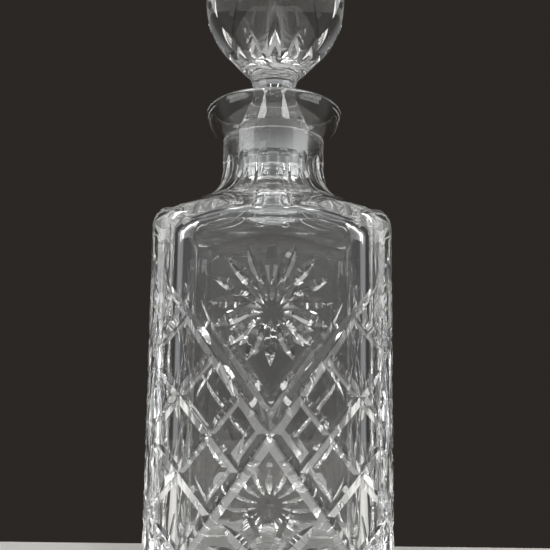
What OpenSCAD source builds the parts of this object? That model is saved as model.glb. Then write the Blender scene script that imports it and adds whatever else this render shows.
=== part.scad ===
// Square cut crystal decanter with a ground-in ball stopper.
// Frame: millimetres, +Z up, the origin at the centre of the underside, the front face towards -Y.
// The bottle is one piece of blown and cut glass and the stopper is another.

/* [Bottle blank] */
// Width across two opposite polished faces
body_w = 95; // [93:0.5:97]
// Height at which the conical shoulder would reach the axis
shoulder_apex = 184.8; // [184:0.2:186]
// Radius of the round neck
neck_r = 23.3; // [22.9:0.1:23.7]
// Radius of the flared lip
lip_r = 31.2; // [30.5:0.1:32]
// Height of the lip above the table
lip_z = 216; // [215.5:0.1:216.5]
// Thickness of the side walls
wall = 7.8; // [7:0.1:8.5]
// Thickness of the heavy base
base_t = 15; // [12:0.5:18]

/* [Stopper] */
// Radius of the ball
ball_r = 33; // [32:0.5:34]
// Height of the ball's centre above the table
ball_z = 268.5; // [267.5:0.5:269.5]
// Radius of the ground peg at the mouth of the bore
peg_r = 15.8; // [15.4:0.1:16]
// Radial gap between the ground peg and the ground bore
fit_gap = 0.08; // [0.05:0.01:0.1]

/* [Cutting] */
// Height at which the two long mitre cuts cross on each face
cross_z = 75; // [73:0.5:77]
// Width of the long mitre cuts where they cross
mitre_w = 7; // [6:0.2:7.6]
// Width of the lattice cuts
lattice_w = 4.2; // [3:0.2:4.6]
// Radius of each star, from its centre to the tips of its rays
star_r = 24; // [22:0.5:25]
// Rays in each star
star_rays = 16; // [12:2:16]
// Flutes round the neck
neck_flutes = 16; // [12:2:16]
// Upright cuts in each ring round the ball
ball_cuts = 12; // [10:1:12]

/* [Hidden] */
$fn = 96;

crystal = [0.86, 0.89, 0.91, 0.45];

// Blank: the moulded shape before its four faces are polished flat
facing = 0.5;
blank_half = body_w / 2 + facing;
corner_r = 13;
top_edge_r = 22;
foot_edge_r = 2;
shoulder_slope = 0.4;
top_edge_a = 66;
far_r = 80;
roof_spare = 20;
overlap = 2;

// Neck and lip
flare_r = 18;
flare_z = shoulder_apex - shoulder_slope * (neck_r + flare_r) + flare_r * norm([1, shoulder_slope]);
flare_c = [neck_r + flare_r, flare_z];
flare_end_a = -90 - atan(shoulder_slope);
lip_curve_r = 17;
rim_r = 1.5;
lip_head_a = -5.2;
bowl_floor_z = 202.5;

// Hollow
hollow_half = body_w / 2 - wall;
hollow_corner_r = 11;
hollow_top_edge_r = 14;
hollow_foot_edge_r = 8;
hollow_apex = shoulder_apex - wall * norm([1, shoulder_slope]);
neck_wall = 7.5;
neck_root_drop = 25;
ground_foot_z = 192;
bore_lead = 1;

// Stopper: the ground part of the peg is tapered, and a narrower nose stands below it
taper = 0.055;
nose_foot_z = 181;
nose_foot_r = 11.6;
nose_edge_r = 2;
nose_head_z = 191.5;
nose_head_r = 13;
peg_foot_z = 193.5;
peg_head_z = 207.5;
peg_bevel = 0.4;
waist_r = 9.9;
waist_z = 226.5;
waist_curve_r = 12;
waist_foot_a = 198.5;
waist_head_a = 125;
cone_head_a = -48;
table_r = 9;

// Cutting wheels: the mitre wheels have a V-shaped edge, and the fluting wheel a round one
mitre_half_angle = 55;
mitre_run = 1.4;
mitre_half_length = 80;
lattice_run = 1.25;
lattice_step = 22.5;
star_up = 49;
star_hole_r = 6.2;
ray_w = 5;
base_star_r = 38;
base_ray_w = 4;
star_cut_proud = 0.3;
mitre_cut_proud = 1;
sweep_spare = 0.8;
sweep_fn = 256;
flute_wheel_r = 16.5;
flute_edge_r = 7;
flute_depth = 0.9;
flute_a = -165;
flute_start_a = 155;
flute_sweep_a = 115;
ball_cut_rings = [[8, 33, 2.4, 0.5], [-48, 16, 2, 1.6]];

// Points on an arc, from angle a0 to angle a1
function arc(c, r, a0, a1, n = 12) =
    [for (i = [0:n]) let (a = a0 + (a1 - a0) * i / n) c + r * [cos(a), sin(a)]];

// The radius of an arc that is d deep over +/- half
function wheel_radius(half, d) = (half * half + d * d) / 2 / d;

function mitre_depth(w) = w / 2 / tan(mitre_half_angle);
function peg_radius(z) = peg_r + taper * (z - bowl_floor_z);
function edge_centre_z(half, r, apex) = apex - shoulder_slope * (half - r) - r * norm([1, shoulder_slope]);

// The profile seen from one side: upright walls, rounded foot and shoulder edges,
// and a roof that clears the cone
module side_profile(half, foot_z, foot_r, edge_r, apex) {
    edge_z = edge_centre_z(half, edge_r, apex);
    right = concat(
        arc([half - foot_r, foot_z + foot_r], foot_r, -90, 0, 6),
        arc([half - edge_r, edge_z], edge_r, 0, top_edge_a)
    );
    left = [for (i = [len(right) - 1:-1:0]) [-right[i].x, right[i].y]];
    polygon(concat(right, [[0, apex + roof_spare]], left));
}

module plan(half, r) {
    polygon(concat(
        arc([half - r, half - r], r, 0, 90),
        arc([r - half, half - r], r, 90, 180),
        arc([r - half, r - half], r, 180, 270),
        arc([half - r, r - half], r, 270, 360)
    ));
}

// A square block with rounded edges under a conical shoulder
module block(half, plan_r, foot_z, foot_r, edge_r, apex) {
    intersection() {
        translate([0, 0, foot_z]) linear_extrude(apex) plan(half, plan_r);
        rotate([90, 0, 0]) linear_extrude(4 * half, center = true)
            side_profile(half, foot_z, foot_r, edge_r, apex);
        rotate([90, 0, 90]) linear_extrude(4 * half, center = true)
            side_profile(half, foot_z, foot_r, edge_r, apex);
        rotate_extrude() polygon([
            [0, foot_z - overlap],
            [far_r, foot_z - overlap],
            [far_r, apex - shoulder_slope * far_r],
            [0, apex]
        ]);
    }
}

// Neck and flared lip, with the fillet that runs out onto the shoulder
module neck_and_lip() {
    lip_c = [lip_r - lip_curve_r, lip_z];
    lip_start = -acos((neck_r - lip_c.x) / lip_curve_r);
    rotate_extrude() polygon(concat(
        [[0, hollow_apex]],
        [flare_c + (flare_r + overlap) * [cos(flare_end_a), sin(flare_end_a)]],
        arc(flare_c, flare_r, flare_end_a, -180, 14),
        arc(lip_c, lip_curve_r, lip_start, lip_head_a, 14),
        arc([lip_r - rim_r, lip_z - rim_r], rim_r, 0, 90, 6),
        [[0, lip_z]]
    ));
}

// Everything inside the glass: the square hollow, the neck, the ground bore and the bowl of the lip
module hollow() {
    block(hollow_half, hollow_corner_r, base_t, hollow_foot_edge_r, hollow_top_edge_r, hollow_apex);
    inner_r = flare_r + neck_wall;
    flare_head = -180 + asin((flare_z - ground_foot_z + bore_lead) / inner_r);
    bore_foot = peg_radius(ground_foot_z) + fit_gap;
    bore_head = peg_radius(bowl_floor_z) + fit_gap;
    bowl_size = [lip_r - 2 * rim_r - bore_head, lip_z - rim_r - bowl_floor_z];
    bowl_r = wheel_radius(bowl_size.x, bowl_size.y);
    rotate_extrude() polygon(concat(
        [[0, hollow_apex - neck_root_drop]],
        [flare_c + (inner_r + overlap) * [cos(flare_end_a), sin(flare_end_a)]],
        arc(flare_c, inner_r, flare_end_a, flare_head, 14),
        [[bore_foot, ground_foot_z]],
        [[bore_head, bowl_floor_z]],
        arc([bore_head, bowl_floor_z + bowl_r], bowl_r, -90, atan2(bowl_size.y - bowl_r, bowl_size.x), 14),
        arc([lip_r - rim_r, lip_z - rim_r], rim_r, 180, 90, 4),
        [[0, lip_z + overlap]]
    ));
}

// Local frame on one face: x across it, y up it from the table, z out of the glass
module on_face(i) {
    rotate([0, 0, 90 * i]) translate([0, -body_w / 2, 0]) rotate([90, 0, 0]) children();
}

// A straight V-shaped cut of one width, from the local origin along +x
module mitre_cut(length, w) {
    d = mitre_depth(w);
    top = mitre_cut_proud;
    reach = (d + top) * tan(mitre_half_angle);
    rotate([90, 0, 90]) linear_extrude(length) polygon([[0, -d], [reach, top], [-reach, top]]);
}

// A leaf-shaped cut that a mitre wheel leaves along x, its floor an arc of radius floor_r at z = -depth.
// The wheel stands just proud of the glass, so that neighbouring cuts keep clear of one another.
module leaf_cut(floor_r, depth, proud, half) {
    rim_h = depth + proud;
    rim_y = rim_h * tan(mitre_half_angle);
    sweep = abs(asin(half / floor_r)) + sweep_spare;
    translate([0, 0, floor_r - depth]) rotate([90, 0, 0]) rotate([0, 0, -90 - sweep])
        rotate_extrude(angle = 2 * sweep, $fn = sweep_fn) polygon([
            [floor_r, 0],
            [floor_r - rim_h, rim_y],
            [floor_r - rim_h, -rim_y]
        ]);
}

// A star of leaf-shaped rays round a plain middle
module star(r_out, r_in, rays, w) {
    half = (r_out - r_in) / 2;
    d = mitre_depth(w);
    for (k = [0:rays - 1]) rotate([0, 0, 360 / rays * k]) translate([(r_out + r_in) / 2, 0, 0])
        leaf_cut(wheel_radius(half, d), d, star_cut_proud, half);
}

// The two long cuts of a face, deepest where they cross and running out at the corners
module cross_cuts() {
    d = mitre_depth(mitre_w);
    for (side = [-1, 1]) translate([0, cross_z, 0]) rotate([0, 0, side * atan(mitre_run)])
        leaf_cut(wheel_radius(mitre_half_length, d), d, mitre_cut_proud, mitre_half_length);
}

// The lattice cuts of a face, which start at a long cut and run off the corner.
// Each would cross the level of cross_z a whole number of steps from the middle.
module lattice_cuts() {
    for (side = [-1, 1], up = [-1, 1], k = [1:3]) {
        start_x = k * lattice_step * lattice_run / (mitre_run + lattice_run);
        run = (body_w / 2 - start_x) * norm([1, lattice_run]);
        translate([side * start_x, cross_z + up * start_x * mitre_run, 0])
            rotate([0, 0, atan2(-up * lattice_run, side)]) mitre_cut(run, lattice_w);
    }
}

module face_cuts() {
    cross_cuts();
    lattice_cuts();
    for (up = [-1, 1]) translate([0, cross_z + up * star_up, 0]) rotate([0, 0, 90])
        star(star_r, star_hole_r, star_rays, ray_w);
}

module base_cuts() {
    mirror([0, 0, 1]) star(base_star_r, star_hole_r, star_rays, base_ray_w);
}

// Flutes that follow the flare at the foot of the neck.
// They are deepest in the direction flute_a from the flare's centre.
module neck_cuts() {
    off = flare_r + flute_depth - flute_wheel_r;
    wheel_c = flare_c + off * [cos(flute_a), sin(flute_a)];
    for (k = [0:neck_flutes - 1]) rotate([0, 0, 360 / neck_flutes * (k + 0.5)])
        translate([wheel_c.x, 0, wheel_c.y]) rotate([90, 0, 0]) rotate([0, 0, flute_start_a])
            rotate_extrude(angle = flute_sweep_a)
                translate([flute_wheel_r - flute_edge_r, 0]) circle(flute_edge_r);
}

module bottle() {
    color(crystal) difference() {
        union() {
            intersection() {
                block(blank_half, corner_r, 0, foot_edge_r, top_edge_r, shoulder_apex);
                translate([-body_w / 2, -body_w / 2, -overlap]) cube([body_w, body_w, lip_z]);
            }
            neck_and_lip();
        }
        hollow();
        for (i = [0:3]) on_face(i) face_cuts();
        base_cuts();
        neck_cuts();
    }
}

// Ball, waist, ground peg and nose before cutting. The ball runs out in a cone towards the waist.
module stopper_blank() {
    waist_c = [waist_r + waist_curve_r, waist_z];
    table_a = acos(table_r / ball_r);
    rotate_extrude() polygon(concat(
        [[0, nose_foot_z - nose_edge_r]],
        arc([nose_foot_r - nose_edge_r, nose_foot_z], nose_edge_r, -90, 0, 6),
        [[nose_head_r, nose_head_z]],
        [[peg_radius(peg_foot_z), peg_foot_z]],
        [[peg_radius(peg_head_z), peg_head_z]],
        [[peg_radius(peg_head_z) - peg_bevel, peg_head_z + peg_bevel]],
        arc(waist_c, waist_curve_r, waist_foot_a, waist_head_a, 12),
        arc([0, ball_z], ball_r, cone_head_a, table_a, 36),
        [[0, ball_z + ball_r * sin(table_a)]]
    ));
}

// Each ring of cuts is [latitude, half length in degrees, depth, how far the wheel stands proud].
// A cut's floor is an arc from one end of the cut to the other. It is hollow where the wheel alone
// shapes it. Its radius is negative where the ball rolls under the wheel, and it then bulges out.
module ball_cuts() {
    for (ring = ball_cut_rings, k = [0:ball_cuts - 1]) {
        half = ball_r * sin(ring[1]);
        depth = ring[2];
        dip = depth - ball_r * (1 - cos(ring[1]));
        rotate([0, 0, 360 / ball_cuts * k]) translate([0, 0, ball_z]) rotate([0, 90 - ring[0], 0])
            translate([0, 0, ball_r]) leaf_cut(wheel_radius(half, dip), depth, ring[3], half);
    }
}

module stopper() {
    color(crystal) difference() {
        stopper_blank();
        ball_cuts();
    }
}

bottle();
stopper();
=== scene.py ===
# A square cut crystal decanter with a ball stopper, in the CAD's frame.
import math

import bmesh
import bpy
from mathutils import Matrix, Vector, noise


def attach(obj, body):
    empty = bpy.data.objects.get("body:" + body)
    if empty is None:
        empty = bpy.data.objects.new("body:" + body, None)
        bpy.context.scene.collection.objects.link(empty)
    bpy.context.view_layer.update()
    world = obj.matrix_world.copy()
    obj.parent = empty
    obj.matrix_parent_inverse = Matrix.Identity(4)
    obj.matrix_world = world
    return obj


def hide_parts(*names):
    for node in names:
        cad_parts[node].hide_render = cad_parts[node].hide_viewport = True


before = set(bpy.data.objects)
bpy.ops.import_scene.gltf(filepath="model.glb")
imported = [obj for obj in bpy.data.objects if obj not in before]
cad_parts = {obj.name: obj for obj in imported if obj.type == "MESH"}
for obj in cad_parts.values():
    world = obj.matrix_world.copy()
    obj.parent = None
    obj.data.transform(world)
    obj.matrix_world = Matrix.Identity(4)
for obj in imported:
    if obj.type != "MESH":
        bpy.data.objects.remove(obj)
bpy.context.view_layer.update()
scene = bpy.context.scene
MM = 0.001

# ---------------------------------------------------------------- sizes, in millimetres, as in the CAD
BODY_W = 95.0
APEX = 184.8
NECK_R = 23.3
LIP_R = 31.2
LIP_Z = 216.0
WALL = 7.8
BASE_T = 15.0
BALL_R = 33.0
BALL_Z = 268.5
PEG_R = 15.8
FIT_GAP = 0.08

CROSS_Z = 75.0
MITRE_W = 7.0
LATTICE_W = 4.2
STAR_R = 24.0
STAR_RAYS = 16
BALL_CUTS = 12
STAR_UP = 49.0
STAR_HOLE = 6.2
RAY_W = 5.0
MITRE_RUN = 1.4
MITRE_HALF = 80.0
LATTICE_RUN = 1.25
LATTICE_STEP = 22.5
HALF_ANGLE = math.radians(55)
MITRE_PROUD = 1.0
STAR_PROUD = 0.3
BASE_STAR_R = 38.0
BASE_RAY_W = 4.0

FACING = 0.5
CORNER_R = 13.0
FOOT_EDGE_R = 2.0
TOP_EDGE_R = 22.0
CORNER_EDGE_R = 5.0
HOLLOW_CORNER_R = 11.0
HOLLOW_TOP_R = 14.0
HOLLOW_FOOT_R = 8.0

SLOPE = 0.4
FLARE_R = 18.0
FLARE_Z = APEX - SLOPE * (NECK_R + FLARE_R) + FLARE_R * math.hypot(1, SLOPE)
BOWL_Z = 202.5
BOWL_R = 12.3
GROUND_FOOT_Z = 192.0
NECK_WALL = 7.5
TAPER = 0.055
PEG_FOOT_Z = 193.5
PEG_HEAD_Z = 207.5
RIM_R = 1.5
LIP_CURVE_R = 17.0
LIP_HEAD_A = -5.2
NECK_FLUTES = 16
FLUTE_WHEEL_R = 16.5
FLUTE_EDGE_R = 7.0
FLUTE_DEPTH = 0.9
FLUTE_A = math.radians(-165)
FLUTE_START_A = 155
FLUTE_SWEEP_A = 115

NOSE_FOOT_Z = 181.0
NOSE_FOOT_R = 11.6
NOSE_EDGE_R = 2.0
NOSE_HEAD_Z = 191.5
NOSE_HEAD_R = 13.0
PEG_BEVEL = 0.4
WAIST_R = 9.9
WAIST_Z = 226.5
WAIST_CURVE_R = 12.0
WAIST_FOOT_A = 198.5
WAIST_HEAD_A = 125
CONE_HEAD_A = -48
TABLE_R = 9.0
# each ring of cuts on the ball: latitude, half length in degrees, depth, how far the wheel stands proud
BALL_CUT_RINGS = ((8, 33, 2.4, 0.5), (-48, 16, 2.0, 1.6))

# ---------------------------------------------------------------- finish, in millimetres and degrees
WORN = 0.16  # rounding of the tip of a cutting wheel
BOW = -0.05  # how far a wheel's flank bows in
CREASE_A = 11  # edges sharper than this stay crisp
GLASS_IOR = 1.55
N = 384  # points round each ring of the bottle
WALL_STEPS = 14
SHOULDER_STEPS = 72
HOLLOW_STEPS = 60
LEVEL_RINGS = 6  # rings at the hollow's mouth that stay true


def peg_radius(z):
    return PEG_R + TAPER * (z - BOWL_Z)


def arc(cx, cz, r, a0, a1, n):
    pts = []
    for i in range(n + 1):
        a = math.radians(a0 + (a1 - a0) * i / n)
        pts.append((cx + r * math.cos(a), cz + r * math.sin(a)))
    return pts


# ---------------------------------------------------------------- mesh helpers
def new_object(name, verts, faces):
    mesh = bpy.data.meshes.new(name)
    mesh.from_pydata([(x * MM, y * MM, z * MM) for x, y, z in verts], [], faces)
    mesh.update()
    obj = bpy.data.objects.new(name, mesh)
    scene.collection.objects.link(obj)
    return obj


class Solid:
    """Collects closed shells, and makes one mesh of them."""

    def __init__(self):
        self.verts, self.faces = [], []

    def add(self, verts, faces):
        k = len(self.verts)
        self.verts += [tuple(v) for v in verts]
        self.faces += [tuple(i + k for i in f) for f in faces]

    def rings(self, rings, poles=None):
        """A skin through rings of equal length, closed at each end by a pole or a flat cap."""
        n = len(rings[0])
        verts = [p for ring in rings for p in ring]
        faces = []
        for k in range(len(rings) - 1):
            for i in range(n):
                j = (i + 1) % n
                faces.append((k * n + i, k * n + j, (k + 1) * n + j, (k + 1) * n + i))
        last = (len(rings) - 1) * n
        if poles:
            verts += [poles[0], poles[1]]
            a, b = len(verts) - 2, len(verts) - 1
            faces += [(a, (i + 1) % n, i) for i in range(n)]
            faces += [(b, last + i, last + (i + 1) % n) for i in range(n)]
        else:
            faces.append(tuple(range(n - 1, -1, -1)))
            faces.append(tuple(last + i for i in range(n)))
        self.add(verts, faces)

    def object(self, name):
        obj = new_object(name, self.verts, self.faces)
        bm = bmesh.new()
        bm.from_mesh(obj.data)
        bmesh.ops.recalc_face_normals(bm, faces=bm.faces)
        bm.to_mesh(obj.data)
        bm.free()
        return obj


def cut(target, tool, operation="DIFFERENCE"):
    mod = target.modifiers.new("cut", "BOOLEAN")
    mod.operation = operation
    mod.object = tool
    mod.solver = "MANIFOLD"
    deps = bpy.context.evaluated_depsgraph_get()
    mesh = bpy.data.meshes.new_from_object(target.evaluated_get(deps))
    target.modifiers.clear()
    old = target.data
    target.data = mesh
    bpy.data.meshes.remove(old)
    bpy.data.objects.remove(tool)


def crisp(obj, angle):
    for p in obj.data.polygons:
        p.use_smooth = True
    obj.data.set_sharp_from_angle(angle=math.radians(angle))


# ---------------------------------------------------------------- cutting wheels
def mitre_depth(w):
    return w / 2 / math.tan(HALF_ANGLE)


def face_matrix(i):
    """Local frame of face i: x across it, y up it, z out of the glass."""
    return (Matrix.Rotation(math.radians(90 * i), 4, "Z") @ Matrix.Translation((0, -BODY_W / 2, 0))
            @ Matrix.Rotation(math.radians(90), 4, "X"))


def wheel_edge(rim):
    """Half of a mitre wheel's edge as (height, half width): a worn tip, then a slightly bowed flank."""
    t = math.tan(HALF_ANGLE)
    pts = [(0.30 * WORN, 0.0), (0.36 * WORN, 0.45 * WORN)]
    for f in (0.0, 0.25, 0.5, 0.75, 1.0):
        h = WORN + (rim - WORN) * f
        pts.append((h, h * t + BOW * math.sin(math.pi * min(h / 1.6, 1))))
    return pts


def both_sides(edge):
    return edge + [(h, -y) for h, y in edge[:0:-1]]


def mitre_bar(solid, m, start, angle, length, w):
    d = mitre_depth(w)
    place = m @ Matrix.Translation((start[0], start[1], 0)) @ Matrix.Rotation(angle, 4, "Z")
    edge = both_sides(wheel_edge(d + MITRE_PROUD))
    solid.rings([[place @ Vector((x, y, h - d)) for h, y in edge] for x in (0, length)])


def leaf(solid, m, half, depth, floor_r, proud, n=24):
    """A leaf-shaped cut along x; a negative floor_r makes its floor bulge outwards."""
    sweep = abs(math.asin(half / floor_r)) + 0.02  # a little past each end
    edge = both_sides(wheel_edge(depth + proud))
    rings = []
    for i in range(n + 1):
        a = -sweep + 2 * sweep * i / n
        ring = []
        for h, y in edge:
            r = floor_r - h
            ring.append(m @ Vector((r * math.sin(a), y, floor_r - depth - r * math.cos(a))))
        rings.append(ring)
    solid.rings(rings)


def wheel_radius(half, d):
    return (half * half + d * d) / 2 / d


def star(solid, m, r_out, r_in, rays, w):
    half = (r_out - r_in) / 2
    d = mitre_depth(w)
    floor_r = wheel_radius(half, d)
    for k in range(rays):
        turn = Matrix.Rotation(2 * math.pi * k / rays, 4, "Z")
        ray = turn @ Matrix.Translation(((r_out + r_in) / 2, 0, 0))
        leaf(solid, m @ ray, half, d, floor_r, STAR_PROUD)


# ---------------------------------------------------------------- bottle
def square_r(phi, half, c):
    """Distance from the axis to a rounded square, in direction phi."""
    x, y = abs(math.cos(phi)), abs(math.sin(phi))
    t = half / max(x, y)
    if min(x, y) * t <= half - c:
        return t
    dc = (half - c) * (x + y)
    return dc + math.sqrt(max(dc * dc - 2 * (half - c) ** 2 + c * c, 0))


def smin(a, b, k):
    h = min(max(0.5 + 0.5 * (b - a) / k, 0), 1)
    return b + (a - b) * h - k * h * (1 - h)


def smax(a, b, k):
    return -smin(-a, -b, k)


def ring_at(radius, height):
    out = []
    for i in range(N):
        phi = 2 * math.pi * i / N
        r = radius(phi)
        x, y = r * math.cos(phi), r * math.sin(phi)
        out.append((x, y, height(x, y, r)))
    return out


def edge_profile(u, half, r, apex):
    cx = half - r
    k = math.hypot(1, SLOPE)
    cz = apex - SLOPE * cx - r * k
    if u < cx + r * SLOPE / k:
        return apex - SLOPE * u
    return cz + math.sqrt(max(r * r - (u - cx) ** 2, 0))


def roof(half, c, edge_r, apex, corner_edge, flare_radius, arch, blend):
    """The top of a block: a cone inside rounded edges, with a trumpet that rises into the neck."""
    join = NECK_R + FLARE_R - flare_radius * SLOPE / math.hypot(1, SLOPE)
    join_z = FLARE_Z - flare_radius / math.hypot(1, SLOPE)

    def height(x, y, r):
        u, v = abs(x), abs(y)
        cone = apex - SLOPE * r
        inset = square_r(math.atan2(y, x), half, c) - r
        if inset < corner_edge:
            cone -= corner_edge - math.sqrt(max(corner_edge ** 2 - (corner_edge - inset) ** 2, 0))
        px = edge_profile(u, half, edge_r, apex) + arch * (1 - (v / 38) ** 2)
        py = edge_profile(v, half, edge_r, apex) + arch * (1 - (u / 38) ** 2)
        block = smin(cone, smin(px, py, blend), blend)
        gap = NECK_R + FLARE_R - r
        if r < join:
            flare = FLARE_Z - math.sqrt(max(flare_radius ** 2 - gap * gap, 0))
        else:
            flare = join_z - 1.2 * (r - join)
        return smax(block, flare, 3.0)
    return height


def circle(r):
    return lambda phi: r


def flat(z):
    return lambda x, y, r: z


def wave(p, amount, size, tall, seed):
    q = Vector((p[0] / size, p[1] / size, p[2] / tall + seed))
    return amount * noise.noise(q)


def build_bottle():
    rings = []
    half, c, foot = BODY_W / 2 + FACING, CORNER_R, FOOT_EDGE_R
    # underside and foot
    for a in range(-90, 1, 15):
        s, co = math.sin(math.radians(a)), math.cos(math.radians(a))
        h, cc = half - foot + foot * co, c - foot + foot * co
        rings.append(ring_at(lambda phi, h=h, cc=cc: square_r(phi, h, cc), flat(foot + foot * s)))
    # walls
    top = roof(half, c, TOP_EDGE_R, APEX, CORNER_EDGE_R, FLARE_R, 1.2, 1.6)
    wall_top = ring_at(lambda phi: square_r(phi, half, c), top)
    for k in range(1, WALL_STEPS):
        f = k / WALL_STEPS
        rings.append([(x, y, foot + (z - foot) * f) for x, y, z in wall_top])
    # shoulder and flare
    for k in range(SHOULDER_STEPS + 1):
        g = 0.5 * (1 + math.cos(math.pi * k / SHOULDER_STEPS))
        rings.append(ring_at(lambda phi, g=g: NECK_R + (square_r(phi, half, c) - NECK_R) * g, top))
    # neck and lip
    lip_c = LIP_R - LIP_CURVE_R
    start = -math.degrees(math.acos((NECK_R - lip_c) / LIP_CURVE_R))
    neck_top = LIP_Z + LIP_CURVE_R * math.sin(math.radians(start))
    outer = [(NECK_R, FLARE_Z + (neck_top - FLARE_Z) * f) for f in (0.25, 0.5, 0.75)]
    outer += arc(lip_c, LIP_Z, LIP_CURVE_R, start, LIP_HEAD_A, 22)
    outer += arc(LIP_R - RIM_R, LIP_Z - RIM_R, RIM_R, 0, 180, 24)[1:]
    head = peg_radius(BOWL_Z) + FIT_GAP
    outer += arc(head, BOWL_Z + BOWL_R, BOWL_R, -2, -90, 30)
    foot_r = peg_radius(GROUND_FOOT_Z) + FIT_GAP
    for f in (0.25, 0.5, 0.75, 1.0):
        outer.append((head + (foot_r - head) * f, BOWL_Z + (GROUND_FOOT_Z - BOWL_Z) * f))
    inner_flare = FLARE_R + NECK_WALL
    for z in (GROUND_FOOT_Z - 1, FLARE_Z + 1.5, FLARE_Z, FLARE_Z - 1.5):
        outer.append((NECK_R + FLARE_R - math.sqrt(inner_flare ** 2 - (z - FLARE_Z) ** 2), z))
    for r, z in outer:
        rings.append(ring_at(circle(r), flat(z)))
    # hollow
    ih, ic, ifoot = BODY_W / 2 - WALL, HOLLOW_CORNER_R, HOLLOW_FOOT_R
    mouth_r = NECK_R + FLARE_R - math.sqrt(inner_flare ** 2 - (FLARE_Z - GROUND_FOOT_Z + 1) ** 2)
    i_apex = APEX - WALL * math.hypot(1, SLOPE)
    under = roof(ih, ic, HOLLOW_TOP_R, i_apex, CORNER_EDGE_R, inner_flare, 0.0, 1.6)
    hollow = []
    for k in range(HOLLOW_STEPS + 1):
        g = 0.5 * (1 - math.cos(math.pi * k / HOLLOW_STEPS))
        hollow.append(ring_at(lambda phi, g=g: mouth_r + (square_r(phi, ih, ic) - mouth_r) * g, under))
    wall_head = hollow[-1]
    z0 = BASE_T + ifoot
    for k in range(1, HOLLOW_STEPS):
        f = k / HOLLOW_STEPS
        hollow.append([(x, y, z + (z0 - z) * f) for x, y, z in wall_head])
    for a in range(0, 91, 6):
        s, co = math.sin(math.radians(a)), math.cos(math.radians(a))
        h, cc = ih - ifoot + ifoot * co, ic - ifoot + ifoot * co
        hollow.append(ring_at(lambda phi, h=h, cc=cc: square_r(phi, h, cc), flat(z0 - ifoot * s)))
    # blown glass is never quite even inside
    for ring in hollow[LEVEL_RINGS:]:
        moved = []
        for x, y, z in ring:
            r = math.hypot(x, y)
            w = wave((x, y, z), 0.14, 26.0, 60.0, 3.0) + wave((x, y, z), 0.03, 5.0, 60.0, 7.0)
            moved.append((x + x / r * w, y + y / r * w, z))
        ring[:] = moved
    rings += hollow
    solid = Solid()
    solid.rings(rings, poles=((0, 0, 0), (0, 0, BASE_T)))
    bottle = solid.object("bottle_glass")

    # polish the four faces flat
    box = Solid()
    w, t = BODY_W / 2, LIP_Z + 5
    box.add([(x, y, z) for z in (-5, t) for x, y in ((-w, -w), (w, -w), (w, w), (-w, w))],
            [(0, 3, 2, 1), (4, 5, 6, 7), (0, 1, 5, 4), (1, 2, 6, 5), (2, 3, 7, 6), (3, 0, 4, 7)])
    cut(bottle, box.object("facing"), "INTERSECT")

    # long mitre cuts and the lattice: one batch for each direction on each pair of faces
    deep = mitre_depth(MITRE_W)
    for pair in (0, 1):
        for sense in (-1, 1):
            batch = Solid()
            for i in (pair, pair + 2):
                m = face_matrix(i) @ Matrix.Translation((0, CROSS_Z, 0))
                leaf(batch, m @ Matrix.Rotation(math.atan(sense * MITRE_RUN), 4, "Z"), MITRE_HALF, deep,
                     wheel_radius(MITRE_HALF, deep), MITRE_PROUD, n=48)
            cut(bottle, batch.object("mitres"))
            batch = Solid()
            for i in (pair, pair + 2):
                m = face_matrix(i)
                for side in (-1, 1):
                    for k in (1, 2, 3):
                        x0 = k * LATTICE_STEP * LATTICE_RUN / (MITRE_RUN + LATTICE_RUN)
                        run = (BODY_W / 2 - x0) * math.hypot(1, LATTICE_RUN)
                        up = -sense * side
                        a = math.atan2(-up * LATTICE_RUN, side)
                        start = (side * x0, CROSS_Z + up * x0 * MITRE_RUN)
                        mitre_bar(batch, m, start, a, run, LATTICE_W)
            cut(bottle, batch.object("lattice"))
    # stars on the faces and under the base
    batch = Solid()
    for i in range(4):
        for up in (-1, 1):
            m = face_matrix(i) @ Matrix.Translation((0, CROSS_Z + up * STAR_UP, 0))
            star(batch, m @ Matrix.Rotation(math.pi / 2, 4, "Z"), STAR_R, STAR_HOLE, STAR_RAYS, RAY_W)
    star(batch, Matrix.Scale(-1, 4, (0, 0, 1)), BASE_STAR_R, STAR_HOLE, STAR_RAYS, BASE_RAY_W)
    cut(bottle, batch.object("stars"))
    # flutes round the neck
    off = FLARE_R + FLUTE_DEPTH - FLUTE_WHEEL_R
    cx = NECK_R + FLARE_R + off * math.cos(FLUTE_A)
    cz = FLARE_Z + off * math.sin(FLUTE_A)
    for odd in (0, 1):
        batch = Solid()
        for k in range(odd, NECK_FLUTES, 2):
            turn = Matrix.Rotation(2 * math.pi * (k + 0.5) / NECK_FLUTES, 4, "Z")
            rings = []
            for i in range(61):
                a = math.radians(FLUTE_START_A + FLUTE_SWEEP_A * i / 60)
                ring = []
                for j in range(64):
                    b = 2 * math.pi * j / 64
                    r = FLUTE_WHEEL_R - FLUTE_EDGE_R + FLUTE_EDGE_R * math.cos(b)
                    p = Vector((cx + r * math.cos(a), FLUTE_EDGE_R * math.sin(b), cz + r * math.sin(a)))
                    ring.append(turn @ p)
                rings.append(ring)
            batch.rings(rings)
        cut(bottle, batch.object("flutes"))
    return bottle


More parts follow.
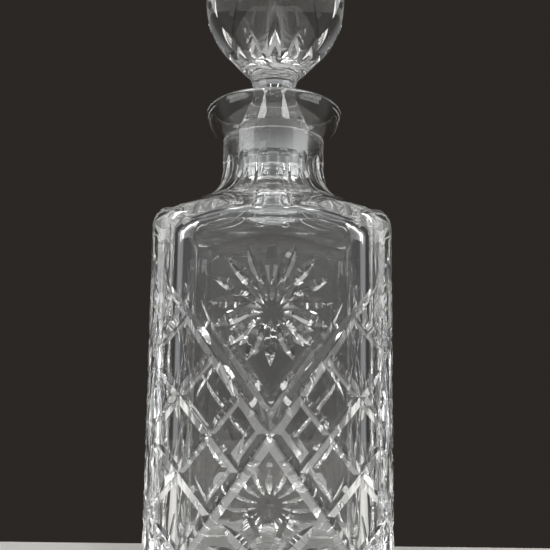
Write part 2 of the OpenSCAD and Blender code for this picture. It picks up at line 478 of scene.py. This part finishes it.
def build_stopper():
    prof = arc(NOSE_FOOT_R - NOSE_EDGE_R, NOSE_FOOT_Z, NOSE_EDGE_R, -90, 0, 12)
    prof += [(NOSE_FOOT_R + (NOSE_HEAD_R - NOSE_FOOT_R) * f, NOSE_FOOT_Z + (NOSE_HEAD_Z - NOSE_FOOT_Z) * f)
             for f in (0.25, 0.5, 0.75, 1.0)]
    foot_r, head_r = peg_radius(PEG_FOOT_Z), peg_radius(PEG_HEAD_Z)
    prof += [(foot_r - 0.5, PEG_FOOT_Z - 0.45), (foot_r, PEG_FOOT_Z)]
    prof += [(foot_r + (head_r - foot_r) * f, PEG_FOOT_Z + (PEG_HEAD_Z - PEG_FOOT_Z) * f)
             for f in (0.3, 0.6, 0.99)]
    prof += [(head_r, PEG_HEAD_Z), (head_r - PEG_BEVEL, PEG_HEAD_Z + PEG_BEVEL)]
    prof += arc(WAIST_R + WAIST_CURVE_R, WAIST_Z, WAIST_CURVE_R, WAIST_FOOT_A, WAIST_HEAD_A, 40)
    prof += arc(0, BALL_Z, BALL_R, CONE_HEAD_A, math.degrees(math.acos(TABLE_R / BALL_R)), 64)
    seg = 256
    turns = [2 * math.pi * i / seg for i in range(seg)]
    rings = [[(r * math.cos(a), r * math.sin(a), z) for a in turns] for r, z in prof]
    solid = Solid()
    solid.rings(rings, poles=((0, 0, prof[0][1]), (0, 0, prof[-1][1])))
    stopper = solid.object("stopper_glass")
    for lat, half_deg, depth, proud in BALL_CUT_RINGS:
        for odd in (0, 1):
            batch = Solid()
            half = BALL_R * math.sin(math.radians(half_deg))
            dip = depth - BALL_R * (1 - math.cos(math.radians(half_deg)))
            for k in range(odd, BALL_CUTS, 2):
                m = (Matrix.Rotation(2 * math.pi * k / BALL_CUTS, 4, "Z")
                     @ Matrix.Translation((0, 0, BALL_Z))
                     @ Matrix.Rotation(math.radians(90 - lat), 4, "Y")
                     @ Matrix.Translation((0, 0, BALL_R)))
                leaf(batch, m, half, depth, wheel_radius(half, dip), proud, n=36)
            cut(stopper, batch.object("ball_cuts"))
    return stopper


# ---------------------------------------------------------------- materials
def glass(name, rough, bump_mm, tint):
    mat = bpy.data.materials.new(name)
    mat.use_nodes = True
    nt = mat.node_tree
    bsdf = nt.nodes["Principled BSDF"]
    bsdf.inputs["Base Color"].default_value = tint
    bsdf.inputs["Transmission Weight"].default_value = 1.0
    bsdf.inputs["IOR"].default_value = GLASS_IOR
    tex = nt.nodes.new("ShaderNodeTexCoord")
    fine = nt.nodes.new("ShaderNodeTexNoise")
    fine.inputs["Scale"].default_value = 60.0
    fine.inputs["Detail"].default_value = 3.0
    nt.links.new(tex.outputs["Object"], fine.inputs["Vector"])
    spread = nt.nodes.new("ShaderNodeMapRange")
    spread.inputs["From Min"].default_value = 0.35
    spread.inputs["From Max"].default_value = 0.75
    spread.inputs["To Min"].default_value = rough[0]
    spread.inputs["To Max"].default_value = rough[1]
    nt.links.new(fine.outputs["Fac"], spread.inputs["Value"])
    nt.links.new(spread.outputs["Result"], bsdf.inputs["Roughness"])
    bump = nt.nodes.new("ShaderNodeBump")
    bump.inputs["Strength"].default_value = 1.0
    bump.inputs["Distance"].default_value = bump_mm * MM
    nt.links.new(fine.outputs["Fac"], bump.inputs["Height"])
    nt.links.new(bump.outputs["Normal"], bsdf.inputs["Normal"])
    return mat


def assign(obj, mats, pick):
    obj.data.materials.clear()
    for m in mats:
        obj.data.materials.append(m)
    for p in obj.data.polygons:
        c = p.center
        p.material_index = pick(math.hypot(c.x, c.y) / MM, c.z / MM)


# ---------------------------------------------------------------- camera, light and floor
CAMERA_AT = (0.0014, -0.2815, 0.1089)
CAMERA_TILT = math.radians(96.2)
CAMERA_ROLL = math.radians(0.7)
SENSOR_W = 36.0
FOCAL = 62 / 55  # focal length in sensor widths


def make_camera():
    data = bpy.data.cameras.new("camera")
    data.sensor_width = SENSOR_W
    data.lens = SENSOR_W * FOCAL
    data.clip_start = 0.01
    cam = bpy.data.objects.new("camera", data)
    cam.matrix_world = (Matrix.Translation(CAMERA_AT) @ Matrix.Rotation(CAMERA_TILT, 4, "X")
                        @ Matrix.Rotation(CAMERA_ROLL, 4, "Z"))
    scene.collection.objects.link(cam)
    scene.camera = cam


def make_stage():
    slab = Solid()
    x, y0, y1, r = 420.0, -520.0, 68.0, 12.0
    rim = []
    for cx, cy, a in ((x - r, y1 - r, 0), (-x + r, y1 - r, 90),
                      (-x + r, y0 + r, 180), (x - r, y0 + r, 270)):
        rim += arc(cx, cy, r, a, a + 90, 8)
    slab.rings([[(px, py, z) for px, py in rim] for z in (-12.0, -0.2)])
    floor = slab.object("floor")
    mat = bpy.data.materials.new("floor_paint")
    mat.use_nodes = True
    nt = mat.node_tree
    bsdf = nt.nodes["Principled BSDF"]
    bsdf.inputs["Roughness"].default_value = 0.55
    tex = nt.nodes.new("ShaderNodeTexNoise")
    tex.inputs["Scale"].default_value = 30.0
    ramp = nt.nodes.new("ShaderNodeValToRGB")
    ramp.color_ramp.elements[0].color = (0.60, 0.58, 0.55, 1)
    ramp.color_ramp.elements[1].color = (0.66, 0.64, 0.61, 1)
    nt.links.new(tex.outputs["Fac"], ramp.inputs["Fac"])
    nt.links.new(ramp.outputs["Color"], bsdf.inputs["Base Color"])
    floor.data.materials.append(mat)


def area(name, loc, target, size, power):
    data = bpy.data.lights.new(name, "AREA")
    data.shape = "RECTANGLE"
    data.size, data.size_y = size
    data.energy = power
    obj = bpy.data.objects.new(name, data)
    d = Vector(target) - Vector(loc)
    obj.matrix_world = Matrix.Translation(loc) @ d.to_track_quat("-Z", "Y").to_matrix().to_4x4()
    scene.collection.objects.link(obj)
    obj.visible_camera = False


def ramp_range(nt, source, lo, hi):
    node = nt.nodes.new("ShaderNodeMapRange")
    node.interpolation_type = "SMOOTHSTEP"
    node.inputs["From Min"].default_value = lo
    node.inputs["From Max"].default_value = hi
    nt.links.new(source, node.inputs["Value"])
    return node.outputs["Result"]


def mix_color(nt, fac, a, b):
    node = nt.nodes.new("ShaderNodeMix")
    node.data_type = "RGBA"
    nt.links.new(fac, node.inputs[0])
    for socket, value in ((node.inputs[6], a), (node.inputs[7], b)):
        if isinstance(value, tuple):
            socket.default_value = value
        else:
            nt.links.new(value, socket)
    return node.outputs[2]


BACKDROP = (0.024, 0.021, 0.019, 1)
WALLS = (0.22, 0.225, 0.23, 1)
ROOM_LOW = (0.34, 0.335, 0.33, 1)
ROOM_HIGH = (0.76, 0.77, 0.78, 1)
TABLE = (0.22, 0.217, 0.21, 1)


def make_light():
    """A plain dark backdrop, grey walls, a pale room in front, and three white lights on each side."""
    world = bpy.data.worlds.new("studio")
    scene.world = world
    world.use_nodes = True
    nt = world.node_tree
    coord = nt.nodes.new("ShaderNodeTexCoord")
    split = nt.nodes.new("ShaderNodeSeparateXYZ")
    nt.links.new(coord.outputs["Generated"], split.inputs["Vector"])
    up = ramp_range(nt, split.outputs["Z"], -0.25, 0.55)
    low = ramp_range(nt, split.outputs["Z"], -0.30, -0.44)
    side = ramp_range(nt, split.outputs["Y"], 0.45, 0.10)
    front = ramp_range(nt, split.outputs["Y"], -0.25, -0.75)
    color = mix_color(nt, side, BACKDROP, WALLS)
    color = mix_color(nt, front, color, mix_color(nt, up, ROOM_LOW, ROOM_HIGH))
    color = mix_color(nt, low, color, TABLE)
    nt.links.new(color, nt.nodes["Background"].inputs["Color"])
    for name, s in (("left", -1), ("right", 1)):
        area("strip_" + name, (0.36 * s, -0.95, 0.95), (0, 0, 0.15), (0.10, 0.6), 5.0)
        area("top_" + name, (0.48 * s, -0.34, 0.85), (0, 0, 0.1), (0.30, 0.30), 2.0)
        area("box_" + name, (0.95 * s, -0.46, 0.66), (0, 0, 0.1), (0.80, 0.70), 4.4)
    scene.view_settings.view_transform = "Standard"
    scene.cycles.max_bounces = 32
    scene.cycles.transmission_bounces = 32
    scene.cycles.glossy_bounces = 16
    scene.cycles.transparent_max_bounces = 16


make_camera()
make_stage()
make_light()

clear = glass("crystal_clear", (0.0, 0.012), 0.01, (0.965, 0.975, 0.972, 1))
ground = glass("crystal_ground", (0.22, 0.40), 0.02, (0.95, 0.96, 0.96, 1))

bottle = build_bottle()
assign(bottle, (clear, ground),
       lambda r, z: 1 if GROUND_FOOT_Z < z < BOWL_Z and r < PEG_R + 0.3 else 0)
crisp(bottle, CREASE_A)
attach(bottle, "bottle")
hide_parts("bottle")

stopper = build_stopper()
assign(stopper, (clear, ground), lambda r, z: 1 if PEG_FOOT_Z < z < PEG_HEAD_Z and r > 14.5 else 0)
crisp(stopper, CREASE_A)
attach(stopper, "stopper")
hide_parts("stopper")
